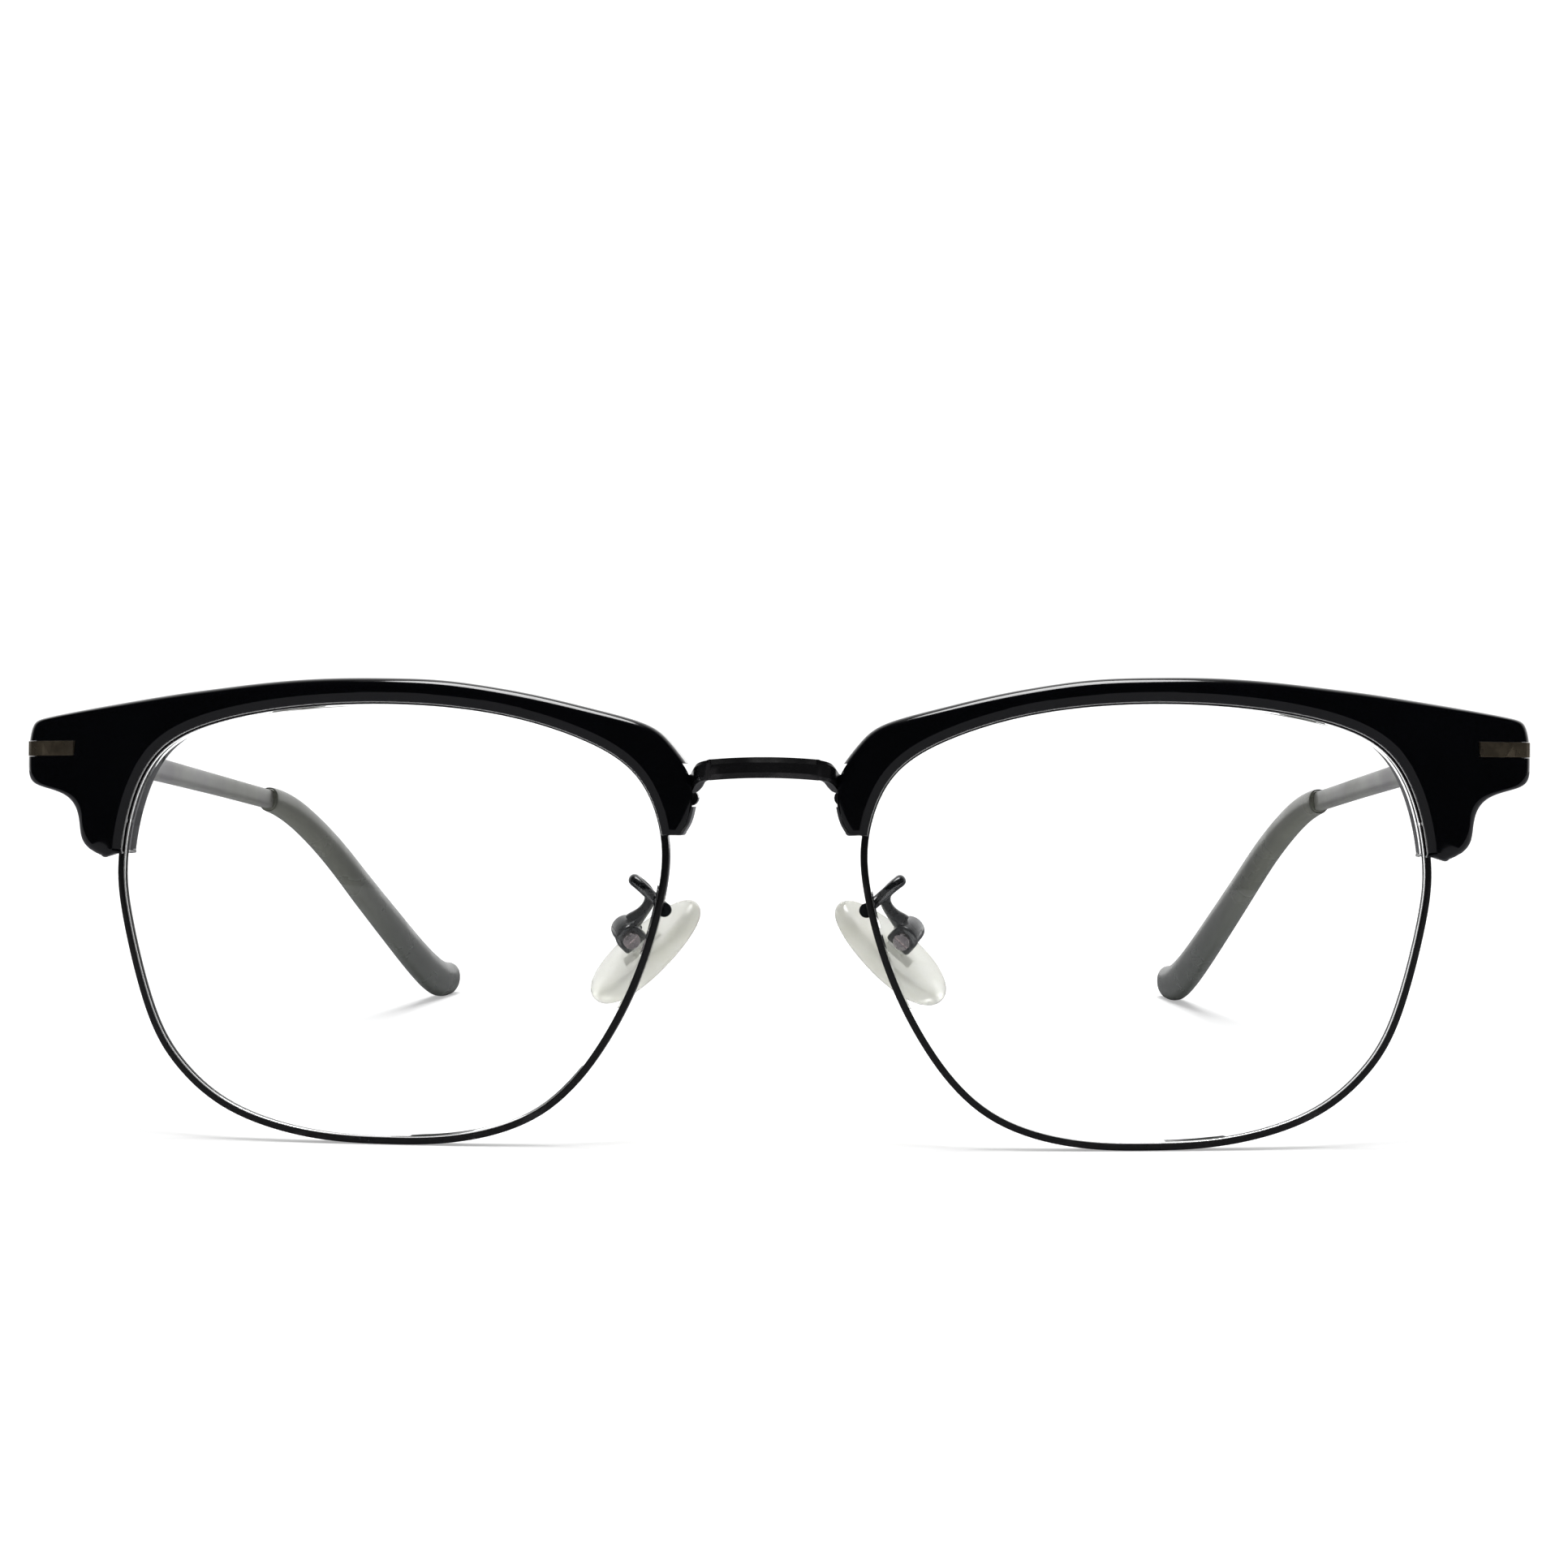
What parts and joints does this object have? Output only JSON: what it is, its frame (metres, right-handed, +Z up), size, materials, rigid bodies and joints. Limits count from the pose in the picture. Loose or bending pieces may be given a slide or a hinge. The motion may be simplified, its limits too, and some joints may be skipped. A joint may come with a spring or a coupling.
{
  "type": "half rim eyeglasses",
  "caption": "Browline eyeglasses: acetate brows over metal eyewires, metal bridge, adjustable silicone nose pads, folding metal temples with plastic tips.",
  "frame": {"origin": "centre of the footprint on the surface that the rim bottoms and temple tips rest on", "axes": "+X across the face to the right as the picture sees it, +Y back along the temples, +Z up; the front faces -Y"},
  "size_m": [0.1432, 0.1476, 0.0429],
  "materials": {
    "black_acetate": "polished",
    "black_enamel": "gloss",
    "slate_metal": "gloss",
    "bright_steel": "satin",
    "bronze_bar": "dark satin",
    "grey_painted_metal": "satin",
    "grey_plastic_tip": "satin",
    "clear_silicone": "translucent",
    "white_core": "matte",
    "lens_glass": "clear"
  },
  "bodies": {
    "front": {"brow_left": "black_acetate", "brow_right": "black_acetate", "eyewire_left": "black_enamel", "eyewire_right": "black_enamel", "bridge": "black_enamel", "brow_lug_left": "black_enamel", "brow_lug_right": "black_enamel", "rim_lock_upper_left": "black_enamel", "rim_lock_upper_right": "black_enamel", "rim_lock_lower_left": "black_enamel", "rim_lock_lower_right": "black_enamel", "rim_lock_screw_left": "bright_steel", "rim_lock_screw_right": "bright_steel", "brow_screw_left": "bright_steel", "brow_screw_right": "bright_steel", "pad_arm_left": "slate_metal", "pad_arm_right": "slate_metal", "pad_box_left": "slate_metal", "pad_box_right": "slate_metal", "pad_screw_left": "bright_steel", "pad_screw_right": "bright_steel", "hinge_screw_left": "bright_steel", "hinge_screw_right": "bright_steel", "end_inlay_left": "bronze_bar", "end_inlay_right": "bronze_bar", "end_hinge_left": "grey_painted_metal", "end_hinge_right": "grey_painted_metal", "lens_left": "lens_glass", "lens_right": "lens_glass"},
    "temple_left": {"temple_hinge_left": "grey_painted_metal", "temple_shaft_left": "grey_painted_metal", "temple_tip_left": "grey_plastic_tip"},
    "temple_right": {"temple_hinge_right": "grey_painted_metal", "temple_shaft_right": "grey_painted_metal", "temple_tip_right": "grey_plastic_tip"},
    "pad_left": {"nose_pad_left": "clear_silicone", "pad_core_left": "white_core"},
    "pad_right": {"nose_pad_right": "clear_silicone", "pad_core_right": "white_core"}
  },
  "joints": [
    {"name": "temple_left_hinge", "type": "hinge", "parent": "front", "child": "temple_left", "pos_m": [-0.0652, -0.05963, 0.03646], "axis": [0, -0.0965, -0.9953], "range_deg": [0, 86]},
    {"name": "temple_right_hinge", "type": "hinge", "parent": "front", "child": "temple_right", "pos_m": [0.0652, -0.05963, 0.03646], "axis": [0, 0.0965, 0.9953], "range_deg": [0, 81]},
    {"name": "pad_left_rock", "type": "hinge", "parent": "front", "child": "pad_left", "pos_m": [-0.01316, -0.06639, 0.0192], "axis": [-0.3141, 0.8829, 0.3489], "range_deg": [-10, 10]},
    {"name": "pad_right_rock", "type": "hinge", "parent": "front", "child": "pad_right", "pos_m": [0.01316, -0.06639, 0.0192], "axis": [0.3141, 0.8829, 0.3489], "range_deg": [-10, 10]}
  ]
}
